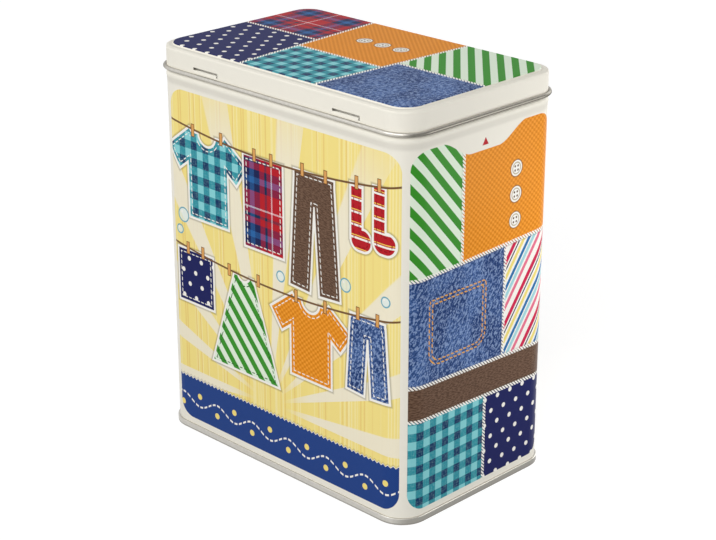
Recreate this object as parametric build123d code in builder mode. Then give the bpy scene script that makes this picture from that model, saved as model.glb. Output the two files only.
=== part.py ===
from build123d import *
import os

# Laundry powder tin: a rolled tinplate sleeve, a base seamed to it and a lift-off lid.
# Millimetres, +Z up, the wide front towards -Y. The origin is the middle of the base,
# on the surface that the tin stands on.

# Driving dimensions
HEIGHT = 200.0              # floor to the top of the lid's panel
BODY_WIDTH = 166.0          # over the sleeve's outer faces
BODY_DEPTH = 102.0
CORNER_RADIUS = 13.0        # upright corners, outside
SHEET = 0.28                # tinplate

# Lid
LID_HEIGHT = 12.4           # lower edge of the curl to the top of the panel
LID_CURL = 2.0              # diameter of the curled lower edge
SHOULDER_BEND = 1.4         # skirt to shoulder, outside
PANEL_INSET = 3.2           # sleeve to the foot of the raised panel
PANEL_RISE = 1.0            # shoulder to panel
PANEL_SLOPE = 0.5           # run of the step beside the panel
PANEL_EDGE = 1.5            # width of the panel's edge before the flat plate

# Lanced catches, two in each wide side of the skirt
LANCE_LENGTH = 17.0
LANCE_HEIGHT = 2.5
LANCE_DEPTH = 0.7
LANCE_RAMP = 3.0            # left-hand end, over which the strip goes in
LANCE_SLIT = 1.3            # height of the cut over the strip
LANCE_END_CUT = 1.2         # width of the cut down the strip's end
LANCE_END_DROP = 2.3        # height of that cut
LANCE_LIFT = 2.4            # lower edge of the lid to the foot of a lance
LANCE_SPACING = 93.0        # between the two on one side

# Neck and rolled rim of the sleeve
RIM_CURL = 2.3              # diameter of the rolled rim
RIM_CLEARANCE = 0.25        # lance to rim, sideways
SEAT_CLEARANCE = 0.15       # rim to the underside of the shoulder
NECK_DROP = 1.5             # lower edge of the lid to the start of the neck
NECK_BEND = 2.0             # outside
BEAD_RISE = 0.3             # shallow bead under the neck, out from the wall
BEAD_CREST = 1.5            # height of its flat
BEAD_HEIGHT = 4.3           # start of the neck to the foot of the bead

# Base and its double seam
SEAM_HEIGHT = 3.2
SEAM_PLAY = 0.06            # room between the layers of the seam
SEAM_EDGE = 0.2             # broken outer edges of the seam
HOOK_PLAY = 0.3             # room at the end of each hook
BASE_RECESS = 3.4           # floor to the panel of the base
FIELD_INSET = 7.0           # sleeve to the raised field of the base
FIELD_RISE = 0.8
FIELD_EDGE = 2.0            # width of the field's edge before the flat plate

# Lock seam up the inside of the sleeve's back
LOCK_WIDTH = 5.0
LOCK_LAYERS = 2
LOCK_OFFSET = 18.0          # corner to the middle of the seam
LOCK_END = 1.0              # bare sleeve at each end

# Centre line of the sleeve's sheet, from which all of the sections are set out
half_width = (BODY_WIDTH - SHEET) / 2
half_depth = (BODY_DEPTH - SHEET) / 2
wall_radius = CORNER_RADIUS - SHEET / 2
section_plane = Plane(origin=(half_width, 0, 0), x_dir=(1, 0, 0), z_dir=(0, -1, 0))

# Heights and insets that follow, on the sheet's centre line
lid_edge = HEIGHT - LID_HEIGHT
lid_curl_height = lid_edge + LID_CURL / 2
panel_height = HEIGHT - SHEET / 2
shoulder_height = panel_height - PANEL_RISE
panel_end = PANEL_INSET + PANEL_SLOPE + PANEL_EDGE
rim_height = shoulder_height - SHEET / 2 - SEAT_CLEARANCE - RIM_CURL / 2
neck_inset = LANCE_DEPTH + RIM_CLEARANCE + RIM_CURL
neck_start = lid_edge - NECK_DROP
bead_top = neck_start - BEAD_RISE
bead_foot = neck_start - BEAD_HEIGHT
layer = SHEET + SEAM_PLAY
fold_height = SHEET / 2 + layer
seam_top = SEAM_HEIGHT - SHEET / 2
hook_room = SHEET / 2 + HOOK_PLAY
field_height = BASE_RECESS + FIELD_RISE
field_end = FIELD_INSET + FIELD_RISE + FIELD_EDGE

with BuildLine() as wall_path:
    FilletPolyline(
        (half_width, 0),
        (half_width, half_depth),
        (-half_width, half_depth),
        (-half_width, 0),
        radius=wall_radius,
    )
    mirror(about=Plane.XZ)
wall_wire = wall_path.wires()[0]


def corner_near(section, across, height):
    """The corner of a section that stands nearest to a place on the section plane."""
    return section.vertices().sort_by_distance((across, height))[0]


# Sleeve: rolled rim, neck, bead, wall and the hook that the base is seamed round
with BuildPart() as tin_body:
    with BuildSketch(section_plane) as sleeve_section:
        with BuildLine():
            Polyline(
                (-neck_inset, rim_height),
                (-neck_inset, neck_start + neck_inset),
                (BEAD_RISE, bead_top),
                (BEAD_RISE, bead_top - BEAD_CREST),
                (0, bead_foot),
                (0, fold_height),
                (2 * layer, fold_height),
                (2 * layer, seam_top - hook_room),
            )
        trace(line_width=SHEET)
        with Locations(((RIM_CURL - SHEET) / 2 - neck_inset, rim_height)):
            Circle(RIM_CURL / 2)
            Rectangle(RIM_CURL, RIM_CURL / 2, align=(Align.CENTER, Align.MAX))
        fillet(corner_near(sleeve_section, BEAD_RISE + SHEET / 2, bead_top), NECK_BEND)
    sweep(path=wall_wire)
    lock_foot = SEAM_HEIGHT + LOCK_END
    lock_top = bead_foot - LOCK_END
    with BuildSketch(Plane.XY.offset(lock_foot)):
        with Locations((LOCK_OFFSET - half_width, half_depth - SHEET / 2)):
            Rectangle(LOCK_WIDTH, LOCK_LAYERS * SHEET, align=(Align.CENTER, Align.MAX))
    extrude(amount=lock_top - lock_foot)

# Base: stamped panel, chuck wall and the hook that is folded over the sleeve's
with BuildPart() as base_panel:
    with BuildSketch(section_plane) as base_section:
        with BuildLine():
            Polyline(
                (-field_end, field_height),
                (-FIELD_INSET - FIELD_RISE, field_height),
                (-FIELD_INSET, BASE_RECESS),
                (-layer, BASE_RECESS),
                (-layer, SHEET / 2),
                (3 * layer, SHEET / 2),
                (3 * layer, seam_top),
                (layer, seam_top),
                (layer, fold_height + hook_room),
            )
        trace(line_width=SHEET)
        seam_face = 3 * layer + SHEET / 2
        chamfer(corner_near(base_section, seam_face, SEAM_HEIGHT), SEAM_EDGE)
        chamfer(corner_near(base_section, seam_face, 0), SEAM_EDGE)
        chamfer(corner_near(base_section, -layer - SHEET / 2, 0), SEAM_EDGE)
    sweep(path=wall_wire)
    with BuildSketch(Plane.XY.offset(field_height - SHEET / 2)):
        RectangleRounded(
            2 * (half_width - field_end),
            2 * (half_depth - field_end),
            wall_radius - field_end,
        )
    extrude(amount=SHEET)

# Lances, set out at the middle of the skirt's sheet with +Y into the tin
lance_foot = lid_edge + LANCE_LIFT
strip_top = lance_foot + LANCE_HEIGHT - LANCE_SLIT


def pressed_strip(face, margin):
    """The wedge between one face of the skirt and that face of a lance's strip."""
    end = LANCE_LENGTH / 2 + margin
    with BuildPart() as wedge:
        with BuildSketch(Plane.YZ):
            with BuildLine():
                Polyline((face, lance_foot), (face, strip_top), (face + LANCE_DEPTH, strip_top), close=True)
            make_face()
        extrude(amount=end, both=True)
        with BuildSketch(Plane.XY.offset(lance_foot)):
            with BuildLine():
                Polyline(
                    (-end, face),
                    (LANCE_RAMP - end, face + LANCE_DEPTH),
                    (end, face + LANCE_DEPTH),
                    (end, face),
                    close=True,
                )
            make_face()
        extrude(amount=LANCE_HEIGHT, mode=Mode.INTERSECT)
    return wedge.part


with BuildPart() as lance_cut:
    with BuildSketch(Plane.XZ):
        with Locations((LANCE_LENGTH / 2, strip_top + LANCE_SLIT)):
            Rectangle(LANCE_LENGTH, LANCE_SLIT, align=(Align.MAX, Align.MAX))
            Rectangle(LANCE_END_CUT, LANCE_END_DROP, align=(Align.MAX, Align.MAX))
    extrude(amount=SHEET + LANCE_DEPTH, both=True)

# Lid: raised panel, shoulder, skirt and the curl along its lower edge
with BuildPart() as lid:
    with BuildSketch(section_plane) as lid_section:
        with BuildLine():
            Polyline(
                (-panel_end, panel_height),
                (-PANEL_INSET - PANEL_SLOPE, panel_height),
                (-PANEL_INSET, shoulder_height),
                (0, shoulder_height),
                (0, lid_curl_height),
            )
        trace(line_width=SHEET)
        with Locations(((LID_CURL - SHEET) / 2, lid_curl_height)):
            Circle(LID_CURL / 2)
            Rectangle(LID_CURL / 2, LID_CURL / 2, align=(Align.MAX, Align.MAX))
        shoulder_top = shoulder_height + SHEET / 2
        fillet(corner_near(lid_section, SHEET / 2, shoulder_top), SHOULDER_BEND)
    sweep(path=wall_wire)
    with BuildSketch(Plane.XY.offset(HEIGHT - SHEET)):
        RectangleRounded(
            2 * (half_width - panel_end),
            2 * (half_depth - panel_end),
            wall_radius - panel_end,
        )
    extrude(amount=SHEET)

    # Each lance is a strip pressed inwards, cut free along its top and down its right-hand end
    for turn in (0, 180):
        for place in (-1, 1):
            seat = Location((0, 0, 0), (0, 0, turn)) * Location((place * LANCE_SPACING / 2, -half_depth, 0))
            with Locations(seat):
                add(pressed_strip(SHEET / 2, SHEET))
                add(pressed_strip(-SHEET / 2, 0), mode=Mode.SUBTRACT)
                add(lance_cut.part, mode=Mode.SUBTRACT)

tin_body.part.label = "tin_body"
base_panel.part.label = "base_panel"
lid.part.label = "lid"

os.makedirs("parts", exist_ok=True)
export_step(tin_body.part, "parts/tin_body.step")
export_step(base_panel.part, "parts/base_panel.step")
export_step(lid.part, "parts/lid.step")
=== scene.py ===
import math

import bpy
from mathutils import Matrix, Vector


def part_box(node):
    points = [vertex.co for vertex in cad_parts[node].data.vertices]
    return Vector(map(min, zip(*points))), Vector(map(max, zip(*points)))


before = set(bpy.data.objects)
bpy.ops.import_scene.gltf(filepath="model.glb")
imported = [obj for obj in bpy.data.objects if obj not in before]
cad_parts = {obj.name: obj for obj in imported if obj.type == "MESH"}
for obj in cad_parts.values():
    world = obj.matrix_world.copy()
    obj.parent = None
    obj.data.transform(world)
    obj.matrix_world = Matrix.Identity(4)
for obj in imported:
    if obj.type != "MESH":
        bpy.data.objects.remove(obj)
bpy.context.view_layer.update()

# Sizes of the tin, in millimetres, as the print is set out on it
MM = 1000.0
SLEEVE_HALF_WIDTH = 83.0
SLEEVE_HALF_DEPTH = 51.0
CORNER_RADIUS = 13.0
FLAT_HALF_WIDTH = SLEEVE_HALF_WIDTH - CORNER_RADIUS
FLAT_HALF_DEPTH = SLEEVE_HALF_DEPTH - CORNER_RADIUS
RIM_FOOT = 196.0
BEAD_FOOT = 181.8
BEAD_SHADE_FOOT = BEAD_FOOT - 0.5
BEAD_SHADE_TOP = BEAD_FOOT + 2.5
LID_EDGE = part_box("lid")[0].z * MM
LID_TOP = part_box("lid")[1].z * MM
CURL_TOP = LID_EDGE + 2.4
CURL_START = 0.06
PANEL_INSET = 3.55
PANEL_STEP = 0.9
SEAM_FOOT = 0.75
BASE_INSIDE = 3.35

# Soft edges: of ink and sheet in millimetres, of a repeat or a face's normal in shares of 1
PRINT_EDGE = 0.14
WEAVE_EDGE = 0.02
FOLD_EDGE = 0.05
INSIDE_EDGE = 0.01
CURL_EDGE = 0.08
BEAD_EDGE = 2.0
SEAM_EDGE = 0.9
NARROW_EDGE = 0.6
HALF = 0.5

# Shares of a face's normal: upward on the lid's shoulder and underside, sideways round the narrow sides
SHOULDER_LOOK = 0.3
UNDER_LOOK = -0.5
CURL_NARROW_LOOK = 0.55
SEAM_NARROW_LOOK = 0.6

# Soft shades on the print: reach and softness in millimetres, and strength
CUT_SHADE = (1.9, 1.2, 0.45)
BAND_SHADE = (1.0, 1.2, 0.35)
BUTTON_SHADE = (0.5, 0.9, 0.7)
PATCH_SHADE = (0.9, 2.2, 0.5)

# Strength of the shade on the bead, along the foot of the seam and on the seam's narrow sides
BEAD_SHADE = 0.12
SEAM_SHADE = 0.75
SEAM_NARROW_SHADE = 0.8

# Print panels on the sleeve: half widths round the corners, lower and upper edges
FRONT_HALF = 75.8
FRONT_SHIFT = 2.7
SIDE_HALF = 46.3
PRINT_FOOT = 6.4
FRONT_TOP = 179.6
SIDE_TOP = 180.4
PRINT_CORNER = 9.0

# Washing lines on the wide sides, and the band under them
LINE_SAG = 0.0011
ROPE_WIDTH = 1.0
PEG_SIZE = (1.9, 6.0)
PEG_GRIP = 0.22
HANG = 0.6
TURNED_EDGE = 1.2
STITCH_INSET = 1.6
BUBBLES = ((-66, 116, 3.6), (-69, 108, 2.2), (3, 103, 2.6), (46, 111, 3.2), (71, 110, 2.4))
BAND_TOP = 28.4
PINKING_PITCH = 2.7
PINKING_DEPTH = 1.1
WAVE_LENGTH = 26.0
WAVE_RISE = 2.6
WAVE_HEIGHT = 16.6
SPOTS = ((6.5, 13.4), (19.5, 19.8))
SPOT_RADIUS = 1.6

# Stitches: width and length, and the share of the length in which the thread shows
HEM_STITCH = (0.5, 3.0)
WAVE_STITCH = (1.0, 3.25)
WHIP_STITCH = (1.9, 1.8)
POCKET_STITCH = (0.7, 2.8)
STITCH_SHARE = 0.64
STITCH_EDGE = 0.05

# Finishes: what lacquer mirrors, how far bare tin is metal, and the unevenness of the sheet
SLEEVE_GLOSS = 0.06
LID_GLOSS = 0.015
GLOSS_TINT = (0.4, 0.4, 0.4, 1.0)
SLEEVE_SHINE = 0.7
FULL_SHINE = 1.0
LACQUER_ROUGHNESS = 0.34
TIN_ROUGHNESS = 0.24
MARK_ROUGHNESS = 0.2
MARK_SCALE = 700.0
SWELL_SCALE = 14.0
SKIN_SCALE = 900.0
SKIN_SHARE = 0.03
BUMP_STRENGTH = 0.25
BUMP_DISTANCE = 0.0006

# Studio, in metres and watts: each lamp has a name, place, side and power, and shows in reflections or not
FLOOR_SIZE = 12.0
FLOOR_GREY = (0.45, 0.45, 0.45, 1.0)
LAMP_WHITE = (1.0, 1.0, 1.0, 1.0)
NEAR_GLOW = 0.66
FAR_GLOW = 0.2
GLOW_MIDDLE = 1.6
GLOW_SPAN = 2.0
AMBIENT = 0.38
AIM = (0.0, 0.0, 0.1)
LAMPS = (
    ("key", (-0.45, -1.2, 1.05), 0.8, 5.6, True),
    ("corner", (0.64, -1.05, 0.75), 0.6, 9.0, True),
    ("side", (0.21, 0.12, 0.13), 0.12, 0.16, True),
    ("left", (-1.4, -0.1, 0.60), 0.8, 4.5, False),
    ("back", (0.15, 1.4, 0.45), 0.8, 7.5, True),
)

# The photograph's camera, in metres, with its lens and sensor in millimetres
CAMERA_PLACE = (0.59595, -0.59696, 0.42938)
CAMERA_TARGET = (0.00185, 0.00153, 0.09098)
CAMERA_LENS = 93.5
CAMERA_SENSOR = 36.0

# Sockets of the mix node that carry its factor and its colours
MIX_FACTOR, MIX_UNDER, MIX_OVER, MIX_RESULT = 0, 6, 7, 2


def ink(code):
    """A colour from its six-digit sRGB code, turned to linear light."""
    channels = [int(code[i:i + 2], 16) / 255 for i in (0, 2, 4)]
    linear = [c / 12.92 if c <= 0.04045 else ((c + 0.055) / 1.055) ** 2.4 for c in channels]
    return (*linear, 1.0)


CREAM = ink("EDE9DD")
YELLOW = ink("F3DF8A")
PALE_RAY = ink("EFE8D4")
NAVY = ink("223F80")
DOT_NAVY = ink("1B2058")
PLAID_NAVY = ink("1B2450")
GREEN = ink("3B8F2E")
PALE_GREEN = ink("E0EEDA")
ORANGE = ink("E58C20")
BROWN = ink("5F4739")
RED = ink("B5222B")
WHITE = ink("F3F0E9")
ROPE = ink("75563A")
SHADE = ink("4A4132")
INSIDE_TIN = ink("DAD7D0")


class Field:
    """A number that changes over a surface, held by a node socket."""

    def __init__(self, tree, socket):
        self.tree = tree
        self.socket = socket

    def math(self, operation, *others):
        node = self.tree.nodes.new("ShaderNodeMath")
        node.operation = operation
        for socket, value in zip(node.inputs, (self, *others)):
            feed(self.tree, socket, value)
        return Field(self.tree, node.outputs[0])

    def __add__(self, other):
        return self.math("ADD", other)

    def __sub__(self, other):
        return self.math("SUBTRACT", other)

    def __mul__(self, other):
        return self.math("MULTIPLY", other)

    def __neg__(self):
        return self.math("MULTIPLY", -1.0)

    def __abs__(self):
        return self.math("ABSOLUTE")

    def low(self, other):
        return self.math("MINIMUM", other)

    def high(self, other):
        return self.math("MAXIMUM", other)

    def turns(self, period):
        """Where the field stands in its period, from 0 to 1."""
        return self.math("DIVIDE", period).math("FRACT")

    def wave(self, period):
        """A sine of the field, from -1 to 1."""
        return (self * (math.tau / period)).math("SINE")

    def above(self, edge, softness=PRINT_EDGE):
        """1 where the field is over the edge, 0 where it is under."""
        node = self.tree.nodes.new("ShaderNodeMapRange")
        node.interpolation_type = "SMOOTHSTEP"
        feed(self.tree, node.inputs["Value"], self)
        node.inputs["From Min"].default_value = edge - softness / 2
        node.inputs["From Max"].default_value = edge + softness / 2
        return Field(self.tree, node.outputs["Result"])

    def below(self, edge, softness=PRINT_EDGE):
        """1 where the field is under the edge, 0 where it is over."""
        node = self.above(edge, softness).socket.node
        node.inputs["To Min"].default_value = 1.0
        node.inputs["To Max"].default_value = 0.0
        return Field(self.tree, node.outputs["Result"])


class Outline:
    """The edge of a cut-out: gap is the way out from it, and run the way along it."""

    def __init__(self, gap, run):
        self.gap = gap
        self.run = run

    def joined(self, other):
        nearer = self.gap.math("LESS_THAN", other.gap)
        return Outline(self.gap.low(other.gap), other.run + (self.run - other.run) * nearer)

    def without(self, other):
        rest = -other.gap
        nearer = self.gap.math("GREATER_THAN", rest)
        return Outline(self.gap.high(rest), other.run + (self.run - other.run) * nearer)


def feed(tree, socket, value):
    """Puts a field, a socket or a plain value into a socket."""
    if isinstance(value, Field):
        tree.links.new(value.socket, socket)
    elif isinstance(value, bpy.types.NodeSocket):
        tree.links.new(value, socket)
    else:
        socket.default_value = value


def blend(tree, mask, under, over):
    """One colour laid over another where the mask is 1."""
    node = tree.nodes.new("ShaderNodeMix")
    node.data_type = "RGBA"
    feed(tree, node.inputs[MIX_FACTOR], mask)
    feed(tree, node.inputs[MIX_UNDER], under)
    feed(tree, node.inputs[MIX_OVER], over)
    return node.outputs[MIX_RESULT]


def steps(tree, place, *stops):
    """Flat bands of colour along a field that runs from 0 to 1."""
    ramp = tree.nodes.new("ShaderNodeValToRGB")
    ramp.color_ramp.interpolation = "CONSTANT"
    elements = ramp.color_ramp.elements
    while len(elements) < len(stops):
        elements.new(1.0)
    for element, (position, colour) in zip(elements, stops):
        element.position = position
        element.color = colour
    feed(tree, ramp.inputs["Fac"], place)
    return ramp.outputs["Color"]


def noise(tree, scale, detail, roughness=0.5):
    """Cloudy noise over the piece, from 0 to 1, with its scale in waves to the metre."""
    node = tree.nodes.new("ShaderNodeTexNoise")
    node.inputs["Scale"].default_value = scale
    node.inputs["Detail"].default_value = detail
    node.inputs["Roughness"].default_value = roughness
    tree.links.new(tree.nodes["Place"].outputs["Object"], node.inputs["Vector"])
    return Field(tree, node.outputs["Fac"])


def slubs(tree, at, width, height):
    """Cloudy noise over a cloth, from 0 to 1, with the width and height of its cells in millimetres."""
    place = tree.nodes.new("ShaderNodeCombineXYZ")
    feed(tree, place.inputs[0], at[0] * (1.0 / width))
    feed(tree, place.inputs[1], at[1] * (1.0 / height))
    node = tree.nodes.new("ShaderNodeTexNoise")
    node.noise_dimensions = "2D"
    node.inputs["Scale"].default_value = 1.0
    node.inputs["Detail"].default_value = 2.0
    tree.links.new(place.outputs[0], node.inputs["Vector"])
    return Field(tree, node.outputs["Fac"])


def chance(tree, place):
    """A number from 0 to 1 drawn for each value of a field."""
    node = tree.nodes.new("ShaderNodeTexWhiteNoise")
    node.noise_dimensions = "1D"
    feed(tree, node.inputs["W"], place)
    return Field(tree, node.outputs["Value"])


# Shapes on the print, in millimetres


def box(at, centre, size, turn=0.0):
    across, up = at[0] - centre[0], at[1] - centre[1]
    if turn:
        c, s = math.cos(math.radians(turn)), math.sin(math.radians(turn))
        across, up = across * c + up * s, up * c - across * s
    return Outline((abs(across) - size[0] / 2).high(abs(up) - size[1] / 2), across + up)


def round_box(at, centre, size, corner):
    across = (abs(at[0] - centre[0]) - (size[0] / 2 - corner)).high(0.0)
    up = (abs(at[1] - centre[1]) - (size[1] / 2 - corner)).high(0.0)
    return Outline((across * across + up * up).math("SQRT") - corner, at[0] + at[1])


def disc(at, centre, radius):
    across, up = at[0] - centre[0], at[1] - centre[1]
    return Outline((across * across + up * up).math("SQRT") - radius, at[0])


def dashes(run, gap, stitch):
    """A line of stitches where the gap is 0."""
    width, length = stitch
    return abs(gap).below(width / 2) * run.turns(length).below(STITCH_SHARE, STITCH_EDGE)


def zigzag(run):
    """The teeth that pinking shears leave."""
    return abs(run.turns(PINKING_PITCH) - HALF) * (2.0 * PINKING_DEPTH)


# Cloths of the print, each a common weave or pattern, with its repeat in millimetres


def gingham(tree, at):
    check, thread, slub = 8.4, 0.7, 2.6
    warp = at[0].turns(check).below(HALF, WEAVE_EDGE)
    weft = at[1].turns(check).below(HALF, WEAVE_EDGE)
    pale, middle, dark = ink("86CFD4"), ink("31909E"), ink("0D335C")
    cloth = blend(tree, weft, blend(tree, warp, pale, middle), blend(tree, warp, middle, dark))
    upright = slubs(tree, at, thread, slub).above(HALF, 0.5)
    level = slubs(tree, at, slub, thread).above(HALF, 0.5)
    return blend(tree, upright * level * 0.25, cloth, ink("9FD2D4"))


def green_stripes(tree, at):
    lean, pitch = 0.9, 9.0
    stripe = (at[0] + at[1] * lean).turns(pitch).below(HALF, WEAVE_EDGE)
    return blend(tree, stripe, PALE_GREEN, GREEN)


def candy_stripes(tree, at):
    lean, pitch = 0.75, 24.0
    stripes = (
        (0.08, 0.20, "C7254E"), (0.25, 0.29, "16284F"), (0.35, 0.45, "E9D67A"),
        (0.52, 0.62, "2E6FA8"), (0.66, 0.76, "9FD0D8"), (0.82, 0.92, "E0718C"),
    )
    stops = [(0.0, WHITE)]
    for start, end, code in stripes:
        stops += [(start, ink(code)), (end, WHITE)]
    return steps(tree, (at[0] - at[1] * lean).turns(pitch), *stops)


def dots(tree, at):
    pitch, rise, radius = 9.0, 13.4, 1.2
    near = None
    for shift in (0.0, 0.5):
        across = (at[0] + pitch * shift).turns(pitch) * pitch
        up = (at[1] + rise * shift).turns(rise) * rise
        spot = disc((across, up), (pitch / 2, rise / 2), radius).gap
        near = spot if near is None else near.low(spot)
    return blend(tree, near.below(0.0), DOT_NAVY, WHITE)


def plaid(tree, at):
    pitch, rib = 27.0, 1.0
    bands = (
        (0.0, RED), (0.22, PLAID_NAVY), (0.36, ink("2C63A0")), (0.48, PLAID_NAVY), (0.62, RED),
        (0.74, ink("14324A")), (0.80, RED), (0.90, ink("F4DCE0")), (0.93, RED),
    )
    warp = steps(tree, at[0].turns(pitch), *bands)
    weft = steps(tree, at[1].turns(pitch), *bands)
    twill = (at[0] + at[1]).turns(rib).above(HALF, 0.3)
    return blend(tree, twill * 0.5 + 0.25, warp, weft)


def denim(tree, at):
    coarse, fine, worn = (1.15, 2.1), (0.6, 0.8), (17.0, 24.0)
    pale_from, dark_from, soft = 0.54, 0.46, 0.12
    c, s = 0.8, 0.6
    slant = (at[0] * c - at[1] * s, at[0] * s + at[1] * c)
    flecks = slubs(tree, slant, *coarse) * 0.6 + slubs(tree, at, *fine) * 0.4
    faded = slubs(tree, at, *worn)
    cloth = blend(tree, faded.above(HALF, 0.3), ink("2A457C"), ink("4C6BA4"))
    cloth = blend(tree, flecks.above(pale_from, soft) * 0.62, cloth, ink("9BB0D3"))
    return blend(tree, flecks.below(dark_from, soft) * 0.6, cloth, ink("1A2D56"))


def canvas(tree, at):
    warp, weft, slub = 3.0, 2.6, (1.6, 1.4)
    knots = at[0].wave(warp) * at[1].wave(weft)
    uneven = slubs(tree, at, *slub)
    cloth = blend(tree, knots.above(0.1, 0.6) * 0.5, ORANGE, ink("F5AC42"))
    cloth = blend(tree, knots.below(-0.1, 0.6) * 0.45, cloth, ink("C06C10"))
    return blend(tree, uneven.above(HALF, 0.4) * 0.3, cloth, ORANGE)


def brown_twill(tree, at):
    rib, lean, slub = 1.3, 0.5, (1.9, 0.6)
    uneven = slubs(tree, at, *slub)
    groove = (at[0] * lean + at[1]).turns(rib).above(HALF, 0.5)
    cloth = blend(tree, uneven.above(HALF, 0.3) * 0.6, BROWN, ink("7C6250"))
    return blend(tree, groove * uneven.below(0.48, 0.3) * 0.6, cloth, ink("46342A"))


def red_knit(tree, at):
    row = 6.0
    bands = ((0.0, RED), (0.56, WHITE), (0.72, RED), (0.80, ink("F0C65A")), (0.88, RED))
    return steps(tree, at[1].turns(row), *bands)


def sunny_ticking(tree, at):
    """The yellow ground: a cloth of uneven fine stripes, with pale rays that rise from its foot."""
    strand_width, strip_width, strip_start = 0.75, 5.1, 40.0
    dark_from, pale_from, soft = 0.86, 0.14, 0.1
    strand = chance(tree, (at[0] * (1.0 / strand_width)).math("FLOOR"))
    strip = chance(tree, (at[0] * (1.0 / strip_width) + strip_start).math("FLOOR"))
    cloth = blend(tree, strip * 0.3, YELLOW, ink("EFD97E"))
    cloth = blend(tree, strand.above(dark_from, soft) * 0.45, cloth, ink("E2B45C"))
    cloth = blend(tree, strand.below(pale_from, soft) * 0.5, cloth, ink("F8EDB8"))
    sun = (-6.0, 34.0)
    ray_pitch, ray_share = math.pi / 9, 0.34
    angle = (at[1] - sun[1]).math("ARCTAN2", at[0] - sun[0])
    ray = angle.turns(ray_pitch).below(ray_share, 0.03)
    reach = disc(at, sun, 0.0).gap
    shown = ray * reach.above(20.0, 24.0) * reach.below(150.0, 70.0) * 0.9
    return blend(tree, shown, cloth, PALE_RAY)


# Washing on the line, each piece hung from the middle of its upper edge and cut in shares of its size


def shirt(at, hook, width, length):
    x, top = hook
    sleeve, tilt, neck = (width * 0.40, width * 0.27), 36, width * 0.15
    cut = box(at, (x, top - length / 2), (width * 0.60, length))
    for side in (-1, 1):
        place = (x + side * width * 0.36, top - width * 0.19)
        cut = cut.joined(box(at, place, sleeve, -tilt * side))
    return cut.without(disc(at, (x, top + width * 0.03), neck))


def dress(at, hook, width, length):
    x, top = hook
    shoulder, flare, neck = width * 0.14, width * 0.36 / length, width * 0.11
    drop = -(at[1] - top)
    side = abs(at[0] - x) - (drop * flare + shoulder)
    cut = Outline(side.high(drop - length).high(-drop), at[0] + drop)
    return cut.without(disc(at, (x, top + width * 0.05), neck))


def trousers(at, hook, width, length):
    x, top = hook
    waist, leg, tilt = (width * 0.74, length * 0.26), (width * 0.38, length * 0.94), 4
    cut = box(at, (x, top - length * 0.13), waist)
    for side in (-1, 1):
        place = (x + side * width * 0.235, top - length * 0.53)
        cut = cut.joined(box(at, place, leg, tilt * side))
    return cut


def sock(at, hook, width, length):
    x, top = hook
    leg = box(at, (x, top - length * 0.42), (width * 0.54, length * 0.84))
    instep = (x + width * 0.24, top - length * 0.84)
    return leg.joined(round_box(at, instep, (width, length * 0.32), length * 0.15))


def towel(at, hook, width, length):
    return box(at, (hook[0], hook[1] - length / 2), (width, length))


def lay_shade(tree, ground, gap, shade):
    """A soft shade under a shape and a little way round it."""
    reach, softness, strength = shade
    return blend(tree, gap.below(reach, softness) * strength, ground, SHADE)


def lay_cut_out(tree, ground, cut, cloth, thread):
    """A cut-out of cloth with a soft shade, a pale turned edge and a line of stitches."""
    ground = lay_shade(tree, ground, cut.gap, CUT_SHADE)
    ground = blend(tree, cut.gap.below(TURNED_EDGE), ground, WHITE)
    ground = blend(tree, cut.gap.below(0.0), ground, cloth)
    return blend(tree, dashes(cut.run, cut.gap + STITCH_INSET, HEM_STITCH), ground, thread)


def lay_peg(tree, at, ground, centre):
    """A wooden clothes peg with a dark edge."""
    peg = box(at, centre, PEG_SIZE).gap
    ground = blend(tree, peg.below(0.25), ground, ink("6E4420"))
    return blend(tree, peg.below(-0.1), ground, ink("D9A05E"))


def washing_lines(tree, at, ground, cloths):
    """Two sagging lines of washing over the yellow ground."""
    # Each line has a height, and its washing a shape, a place across, a width, a length and a cloth
    lines = (
        (158.0, (
            (shirt, -47.0, 46.0, 43.0, gingham),
            (towel, -8.0, 26.0, 45.0, plaid),
            (trousers, 26.0, 34.0, 57.0, brown_twill),
            (sock, 53.0, 12.0, 30.0, red_knit),
            (sock, 67.0, 12.0, 30.0, red_knit),
        )),
        (95.0, (
            (towel, -58.0, 25.0, 27.0, dots),
            (dress, -23.0, 47.0, 50.0, green_stripes),
            (shirt, 23.0, 44.0, 39.0, canvas),
            (trousers, 60.0, 28.0, 38.0, denim),
        )),
    )
    threads = {green_stripes: ink("1F5A1B"), red_knit: ink("8C1620")}
    for height, washing in lines:
        for shape, place, width, length, cloth in washing:
            hook = (place, height + place * place * LINE_SAG - HANG)
            cut = shape(at, hook, width, length)
            ground = lay_cut_out(tree, ground, cut, cloths[cloth], threads.get(cloth, WHITE))
        rope = at[1] - (at[0] * at[0] * LINE_SAG + height)
        ground = blend(tree, abs(rope).below(ROPE_WIDTH / 2), ground, ROPE)
        for shape, place, width, _, _ in washing:
            grips = (0.0,) if shape is sock else (-PEG_GRIP * width, PEG_GRIP * width)
            for grip in grips:
                centre = (place + grip, height + place * place * LINE_SAG + HANG)
                ground = lay_peg(tree, at, ground, centre)
    return ground


def lay_bubble(tree, at, ground, x, z, radius):
    """A soap bubble with a thin edge and a glint."""
    edge = disc(at, (x, z), radius).gap
    ground = blend(tree, edge.below(0.0) * 0.6, ground, ink("DDEFF2"))
    ground = blend(tree, abs(edge).below(0.35), ground, ink("6FA9BA"))
    glint = disc(at, (x - radius * 0.35, z + radius * 0.4), 0.6).gap
    return blend(tree, glint.below(0.0), ground, WHITE)


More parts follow.
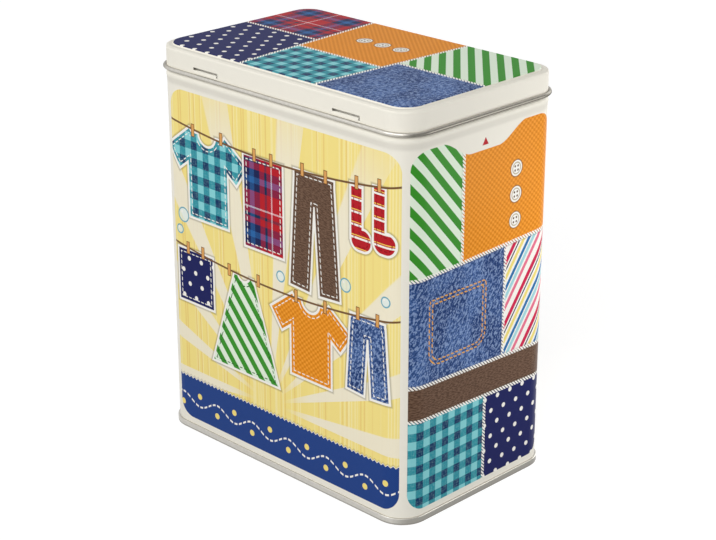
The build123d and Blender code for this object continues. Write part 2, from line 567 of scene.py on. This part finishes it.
def lay_band(tree, at, ground):
    """A pinked band along the foot, with a stitched wave and a spot in each of its hollows."""
    rib = 1.1
    edge = at[1] - (zigzag(at[0]) + BAND_TOP)
    weave = (at[0] + at[1]).turns(rib).above(HALF, 0.6) * 0.18
    ground = lay_shade(tree, ground, edge, BAND_SHADE)
    ground = blend(tree, edge.below(0.35), ground, WHITE)
    ground = blend(tree, edge.below(0.0), ground, blend(tree, weave, NAVY, ink("3A5A9C")))
    wave = at[1] - (at[0].wave(WAVE_LENGTH) * WAVE_RISE + WAVE_HEIGHT)
    ground = blend(tree, dashes(at[0], wave, WAVE_STITCH), ground, WHITE)
    for shift, height in SPOTS:
        place = ((at[0] + shift).turns(WAVE_LENGTH) * WAVE_LENGTH, at[1])
        spot = disc(place, (WAVE_LENGTH / 2, height), SPOT_RADIUS).gap
        ground = blend(tree, spot.below(0.0), ground, ink("F2DC80"))
    return ground


def front_print(tree, at, cloths):
    """The wide sides: washing on the line over a pinked band."""
    ground = washing_lines(tree, at, sunny_ticking(tree, at), cloths)
    for bubble in BUBBLES:
        ground = lay_bubble(tree, at, ground, *bubble)
    return lay_band(tree, at, ground)


# Patchwork


def lay_patch(tree, at, ground, inside, cloth):
    """A patch sewn on with close whip stitches where inside is over 0."""
    reach, softness, strength = PATCH_SHADE
    ground = blend(tree, inside.above(-reach, softness) * strength, ground, SHADE)
    ground = blend(tree, inside.above(0.0), ground, cloth)
    return blend(tree, dashes(at[0] + at[1], inside, WHIP_STITCH), ground, WHITE)


def lay_button(tree, at, ground, centre):
    """A sewing button with four holes."""
    radius, ring, hole_place, hole_radius = 3.8, 1.1, (1.0, 1.0), 0.55
    rim = disc(at, centre, radius).gap
    ground = lay_shade(tree, ground, rim, BUTTON_SHADE)
    ground = blend(tree, rim.below(0.0), ground, WHITE)
    ground = blend(tree, abs(rim + ring).below(0.3), ground, ink("BDB198"))
    holes = disc((abs(at[0] - centre[0]), abs(at[1] - centre[1])), hole_place, hole_radius).gap
    return blend(tree, holes.below(0.0), ground, ink("5D4430"))


def side_print(tree, at, cloths):
    """The narrow sides: patches sewn over each other, with a bare tongue and an arrow at the top."""
    lean, top_lean = 0.04, 0.03
    foot_edge, strap_edge, top_edge = 50.0, 67.0, 122.0
    stripes_edge, orange_edge, dots_edge = 16.0, 14.0, 4.0
    foot = -(at[1] + at[0] * lean - foot_edge)
    strap = -(at[1] + at[0] * lean - strap_edge)
    top = at[1] - at[0] * top_lean - top_edge
    ground = lay_patch(tree, at, cloths[denim], at[0] - stripes_edge, cloths[candy_stripes])
    pocket_place, pocket_size, pocket_corner, pocket_top = (-16.0, 95.0), (38.0, 36.0), 7.0, 109.0
    pocket = round_box(at, pocket_place, pocket_size, pocket_corner).gap.high(at[1] - pocket_top)
    for inset in (0.0, 2.0):
        ground = blend(tree, dashes(at[0] + at[1], pocket + inset, POCKET_STITCH), ground, ink("E3A64E"))
    ground = lay_patch(tree, at, ground, top, cloths[green_stripes])
    ground = lay_patch(tree, at, ground, top.low(at[0] + orange_edge), cloths[canvas])
    ground = lay_patch(tree, at, ground, strap, cloths[brown_twill])
    ground = lay_patch(tree, at, ground, foot, cloths[gingham])
    ground = lay_patch(tree, at, ground, foot.low(at[0] - dots_edge), cloths[dots])
    for centre in ((22.0, 133.0), (22.0, 145.5), (22.0, 158.0)):
        ground = lay_button(tree, at, ground, centre)
    tongue_half, tongue_slope, tongue_rise, tongue_depth = 19.0, 20.0, 8.6, 8.4
    rise = abs(at[0]).above(tongue_half, tongue_slope) * tongue_rise
    tongue = at[1] - (rise + (SIDE_TOP - tongue_depth))
    ground = blend(tree, tongue.above(0.0), ground, CREAM)
    arrow_slope, arrow_tip, arrow_foot = 1.7, 177.8, 174.2
    arrow = (abs(at[0]) * arrow_slope + (at[1] - arrow_tip)).high(-(at[1] - arrow_foot))
    return blend(tree, arrow.below(0.0), ground, RED)


def lid_print(tree, at, cloths):
    """The patchwork on top of the lid."""
    middle_lean, right_lean = 0.08, 0.06
    middle_edge, right_edge = 29.0, 27.0
    plaid_edge, orange_edge, denim_edge = 5.0, 8.0, 2.0
    middle = at[0] + at[1] * middle_lean + middle_edge
    right = at[0] - at[1] * right_lean - right_edge
    ground = lay_patch(tree, at, cloths[dots], at[1] - plaid_edge, cloths[plaid])
    ground = lay_patch(tree, at, ground, middle, cloths[gingham])
    ground = lay_patch(tree, at, ground, middle.low(at[1] + orange_edge), cloths[canvas])
    ground = lay_patch(tree, at, ground, right, cloths[green_stripes])
    ground = lay_patch(tree, at, ground, right.low(-(at[1] - denim_edge)), cloths[denim])
    for centre in ((-12.0, 20.0), (0.0, 20.0), (12.0, 20.0)):
        ground = lay_button(tree, at, ground, centre)
    return ground


# Finishes


def new_finish(name):
    """An empty material with its shader and the piece's own coordinates in millimetres."""
    finish = bpy.data.materials.new(name)
    finish.use_nodes = True
    tree = finish.node_tree
    place = tree.nodes.new("ShaderNodeTexCoord")
    place.name = "Place"
    split = tree.nodes.new("ShaderNodeSeparateXYZ")
    tree.links.new(place.outputs["Object"], split.inputs[0])
    x, y, z = (Field(tree, split.outputs[i]) * MM for i in range(3))
    return finish, tree, tree.nodes["Principled BSDF"], (x, y, z)


def facing_out(tree, x, y):
    """Over 0 on faces that look away from the inside of the tin, and the shares of the normal."""
    geometry = tree.nodes.new("ShaderNodeNewGeometry")
    split = tree.nodes.new("ShaderNodeSeparateXYZ")
    tree.links.new(geometry.outputs["Normal"], split.inputs[0])
    normal = [Field(tree, split.outputs[i]) for i in range(3)]
    reach_x = (abs(x) - FLAT_HALF_WIDTH).high(0.0) * x.math("SIGN")
    reach_y = (abs(y) - FLAT_HALF_DEPTH).high(0.0) * y.math("SIGN")
    return normal[0] * reach_x + normal[1] * reach_y, normal


def unrolled(x, y, z):
    """Places on the sleeve as a print, across and up, and 1 where they are on a narrow side."""
    round_x = (abs(x) - FLAT_HALF_WIDTH).high(0.0)
    round_y = (abs(y) - FLAT_HALF_DEPTH).high(0.0)
    turn = round_x.math("ARCTAN2", round_y)
    flat_x, flat_y = abs(x).low(FLAT_HALF_WIDTH), abs(y).low(FLAT_HALF_DEPTH)
    from_front = flat_x + turn * CORNER_RADIUS - flat_y + FLAT_HALF_DEPTH
    corner_end = FLAT_HALF_WIDTH + CORNER_RADIUS * math.pi / 2
    from_side = flat_y + turn * -CORNER_RADIUS - flat_x + corner_end
    on_side = turn.math("GREATER_THAN", math.pi / 4)
    hand = (x * y).math("SIGN")
    front_across = from_front * hand * -1.0
    side_across = from_side * hand
    return (front_across + on_side * (side_across - front_across), z), on_side


def print_panel(at, half, top, shift=0.0):
    """1 inside a panel of print on the sleeve."""
    size = (2.0 * half, top - PRINT_FOOT)
    return round_box(at, (shift, (PRINT_FOOT + top) / 2), size, PRINT_CORNER).gap.below(0.0)


def sheet_bump(tree, shader):
    """The slight waviness of thin sheet and the fine skin of its lacquer."""
    swell = noise(tree, SWELL_SCALE, 1.0)
    skin = noise(tree, SKIN_SCALE, 2.0)
    bump = tree.nodes.new("ShaderNodeBump")
    bump.inputs["Strength"].default_value = BUMP_STRENGTH
    bump.inputs["Distance"].default_value = BUMP_DISTANCE
    feed(tree, bump.inputs["Height"], swell + skin * SKIN_SHARE)
    tree.links.new(bump.outputs["Normal"], shader.inputs["Normal"])


def bare_tin(tree, dark, pale):
    """Colour and roughness of uncoated tinplate, with fine rolling marks."""
    marks = noise(tree, MARK_SCALE, 4.0, 0.7)
    return blend(tree, marks, dark, pale), marks * MARK_ROUGHNESS + TIN_ROUGHNESS


def lacquer_or_tin(tree, shader, paint, metal, dark, pale, gloss, shine):
    """Feeds the shader with lacquer where metal is 0 and bare tin where it is 1."""
    tin_colour, tin_roughness = bare_tin(tree, dark, pale)
    tree.links.new(blend(tree, metal, paint, tin_colour), shader.inputs["Base Color"])
    feed(tree, shader.inputs["Metallic"], metal * shine)
    roughness = metal * (tin_roughness - LACQUER_ROUGHNESS) + LACQUER_ROUGHNESS
    feed(tree, shader.inputs["Roughness"], roughness)
    shader.inputs["Specular IOR Level"].default_value = gloss
    shader.inputs["Specular Tint"].default_value = GLOSS_TINT
    sheet_bump(tree, shader)


def sleeve_finish():
    finish, tree, shader, (x, y, z) = new_finish("printed_sleeve")
    at, on_side = unrolled(x, y, z)
    weaves = (gingham, green_stripes, candy_stripes, dots, plaid, denim, canvas, brown_twill, red_knit)
    cloths = {weave: weave(tree, at) for weave in weaves}
    front_panel = print_panel(at, FRONT_HALF, FRONT_TOP, FRONT_SHIFT)
    side_panel = print_panel(at, SIDE_HALF, SIDE_TOP)
    outside, _ = facing_out(tree, x, y)
    front = front_print(tree, at, cloths)
    side = side_print(tree, at, cloths)
    paint = blend(tree, front_panel * (on_side * -1.0 + 1.0), CREAM, front)
    paint = blend(tree, side_panel * on_side, paint, side)
    # A faint shade helps the shallow bead under the lid to show
    bead = z.above(BEAD_SHADE_FOOT, BEAD_EDGE) * z.below(BEAD_SHADE_TOP, BEAD_EDGE)
    paint = blend(tree, bead * BEAD_SHADE, paint, SHADE)
    metal = outside.below(0.0, INSIDE_EDGE).high(z.above(RIM_FOOT))
    lacquer_or_tin(tree, shader, paint, metal, ink("B9B6AF"), INSIDE_TIN, SLEEVE_GLOSS, SLEEVE_SHINE)
    return finish


def lid_finish():
    finish, tree, shader, (x, y, z) = new_finish("printed_lid")
    at = (x, y)
    cloths = {weave: weave(tree, at) for weave in (gingham, green_stripes, dots, plaid, denim, canvas)}
    skirt_size = (2.0 * SLEEVE_HALF_WIDTH, 2.0 * SLEEVE_HALF_DEPTH)
    skirt = round_box(at, (0.0, 0.0), skirt_size, CORNER_RADIUS).gap
    outside, (sideways, _, upward) = facing_out(tree, x, y)
    on_panel = skirt.below(-PANEL_INSET) * z.above(LID_TOP - PANEL_STEP, FOLD_EDGE)
    paint = blend(tree, on_panel, CREAM, lid_print(tree, at, cloths))
    inner = outside.below(0.0, INSIDE_EDGE) * upward.below(SHOULDER_LOOK, FOLD_EDGE)
    curl = skirt.above(CURL_START, CURL_EDGE) * z.below(CURL_TOP)
    metal = inner.high(curl).high(upward.below(UNDER_LOOK, FOLD_EDGE))
    # Painted reflection: the curl is painted darker round the narrow sides and paler on the wide sides, as
    # the photo shows it
    painted_narrow_shade = abs(sideways).above(CURL_NARROW_LOOK, NARROW_EDGE)
    dark = blend(tree, painted_narrow_shade, ink("B2AFA7"), ink("5E5B54"))
    pale = blend(tree, painted_narrow_shade, ink("D9D5CD"), ink("85827A"))
    lacquer_or_tin(tree, shader, paint, metal, dark, pale, LID_GLOSS, FULL_SHINE)
    return finish


def base_finish():
    finish, tree, shader, (x, y, z) = new_finish("plain_tinplate")
    colour, roughness = bare_tin(tree, ink("AFACA5"), ink("D0CDC6"))
    # Painted shade along the foot of the seam and a painted darker reflection round the narrow sides;
    # paler inside the tin
    colour = blend(tree, z.below(SEAM_FOOT, SEAM_EDGE) * SEAM_SHADE, colour, ink("77746D"))
    _, (sideways, _, _) = facing_out(tree, x, y)
    painted_narrow_shade = abs(sideways).above(SEAM_NARROW_LOOK, NARROW_EDGE)
    colour = blend(tree, painted_narrow_shade * SEAM_NARROW_SHADE, colour, ink("85827B"))
    colour = blend(tree, z.above(BASE_INSIDE), colour, INSIDE_TIN)
    tree.links.new(colour, shader.inputs["Base Color"])
    shader.inputs["Metallic"].default_value = FULL_SHINE
    feed(tree, shader.inputs["Roughness"], roughness)
    sheet_bump(tree, shader)
    return finish


for node, finish in (("tin_body", sleeve_finish), ("lid", lid_finish), ("base_panel", base_finish)):
    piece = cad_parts[node]
    piece.data.materials.clear()
    piece.data.materials.append(finish())


# Studio: a pale floor that runs out of sight, soft light and the photograph's camera


def studio_white(tree, lit, seen, output):
    """White to the camera and in reflections, with its own light on everything else."""
    path = tree.nodes.new("ShaderNodeLightPath")
    looking = Field(tree, path.outputs["Is Camera Ray"]).high(Field(tree, path.outputs["Is Glossy Ray"]))
    looking = looking.high(Field(tree, path.outputs["Is Transmission Ray"]))
    mix = tree.nodes.new("ShaderNodeMixShader")
    feed(tree, mix.inputs[0], looking)
    tree.links.new(lit, mix.inputs[1])
    tree.links.new(seen, mix.inputs[2])
    tree.links.new(mix.outputs[0], output)


def build_floor():
    bpy.ops.object.select_all(action="DESELECT")
    bpy.ops.mesh.primitive_plane_add(size=FLOOR_SIZE, location=(0.0, 0.0, 0.0))
    floor = bpy.context.object
    floor.name = "studio_floor"
    pale = bpy.data.materials.new("studio_floor")
    pale.use_nodes = True
    tree = pale.node_tree
    tree.nodes.clear()
    matt = tree.nodes.new("ShaderNodeBsdfDiffuse")
    matt.inputs["Color"].default_value = FLOOR_GREY
    glow = tree.nodes.new("ShaderNodeEmission")
    glow.inputs["Color"].default_value = LAMP_WHITE
    place = tree.nodes.new("ShaderNodeTexCoord")
    split = tree.nodes.new("ShaderNodeSeparateXYZ")
    tree.links.new(place.outputs["Object"], split.inputs[0])
    x, y = (Field(tree, split.outputs[i]) for i in range(2))
    reach = disc((x, y), (0.0, 0.0), 0.0).gap
    feed(tree, glow.inputs["Strength"], reach.above(GLOW_MIDDLE, GLOW_SPAN) * FAR_GLOW + NEAR_GLOW)
    both = tree.nodes.new("ShaderNodeAddShader")
    tree.links.new(matt.outputs[0], both.inputs[0])
    tree.links.new(glow.outputs[0], both.inputs[1])
    output = tree.nodes.new("ShaderNodeOutputMaterial")
    studio_white(tree, matt.outputs[0], both.outputs[0], output.inputs["Surface"])
    floor.data.materials.append(pale)


def build_world():
    world = bpy.data.worlds.new("studio")
    bpy.context.scene.world = world
    world.use_nodes = True
    tree = world.node_tree
    ambient = tree.nodes["Background"]
    ambient.inputs["Strength"].default_value = AMBIENT
    backdrop = tree.nodes.new("ShaderNodeBackground")
    for background in (ambient, backdrop):
        background.inputs["Color"].default_value = LAMP_WHITE
    output = tree.nodes["World Output"]
    studio_white(tree, ambient.outputs[0], backdrop.outputs[0], output.inputs["Surface"])


def aim(thing, place, target):
    """Puts a lamp or a camera at a place, looking at a target."""
    thing.location = place
    line = Vector(target) - Vector(place)
    thing.rotation_euler = line.to_track_quat("-Z", "Y").to_euler()
    bpy.context.scene.collection.objects.link(thing)


def soft_lamp(name, place, side, power, mirrored):
    light = bpy.data.lights.new(name, "AREA")
    light.shape = "SQUARE"
    light.size = side
    light.energy = power
    lamp = bpy.data.objects.new(name, light)
    lamp.visible_camera = False
    lamp.visible_glossy = mirrored
    aim(lamp, place, AIM)


def build_camera():
    data = bpy.data.cameras.new("photo_camera")
    data.sensor_width = CAMERA_SENSOR
    data.lens = CAMERA_LENS
    camera = bpy.data.objects.new("photo_camera", data)
    aim(camera, CAMERA_PLACE, CAMERA_TARGET)
    bpy.context.scene.camera = camera


build_floor()
build_world()
for settings in LAMPS:
    soft_lamp(*settings)
build_camera()
bpy.context.scene.view_settings.view_transform = "Standard"
